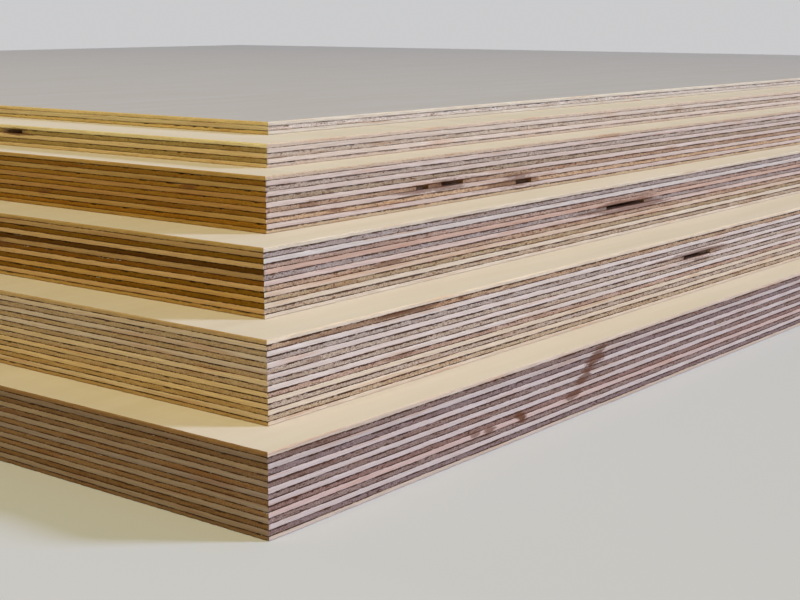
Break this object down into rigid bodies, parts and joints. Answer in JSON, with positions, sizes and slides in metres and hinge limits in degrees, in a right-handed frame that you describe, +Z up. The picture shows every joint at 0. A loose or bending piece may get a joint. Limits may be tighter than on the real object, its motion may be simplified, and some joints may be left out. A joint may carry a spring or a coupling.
{
  "type": "stack of plywood sheets",
  "caption": "Stack of square birch plywood sheets of several thicknesses, lying flat with their near corners stepped back so that the glued veneers show on the edges.",
  "frame": {"origin": "on the floor, at the middle of the stack's bounding box", "axes": "+Z up through the sheets; +X along the edges that run right from the near corner; +Y along the edges that run left from it"},
  "size_m": [0.851, 0.8412, 0.0854],
  "materials": {
    "outer_birch": "sanded birch face veneer, matt, pale cream, sharp sawn edges",
    "crossband_birch": "sawn birch veneer edge between dark glue lines",
    "centre_birch": "sawn birch veneer edge between dark glue lines"
  },
  "bodies": {
    "root": {"sheet_1_back_veneer": "outer_birch", "sheet_1_centre_veneers": "centre_birch", "sheet_1_crossband_veneers": "crossband_birch", "sheet_1_face_veneer": "outer_birch", "sheet_2_back_veneer": "outer_birch", "sheet_2_centre_veneers": "centre_birch", "sheet_2_crossband_veneers": "crossband_birch", "sheet_2_face_veneer": "outer_birch", "sheet_3_back_veneer": "outer_birch", "sheet_3_centre_veneers": "centre_birch", "sheet_3_crossband_veneers": "crossband_birch", "sheet_3_face_veneer": "outer_birch", "sheet_4_back_veneer": "outer_birch", "sheet_4_centre_veneers": "centre_birch", "sheet_4_crossband_veneers": "crossband_birch", "sheet_4_face_veneer": "outer_birch", "sheet_5_back_veneer": "outer_birch", "sheet_5_centre_veneers": "centre_birch", "sheet_5_crossband_veneers": "crossband_birch", "sheet_5_face_veneer": "outer_birch", "sheet_6_back_veneer": "outer_birch", "sheet_6_crossband_veneers": "crossband_birch", "sheet_6_face_veneer": "outer_birch"}
  },
  "joints": []
}
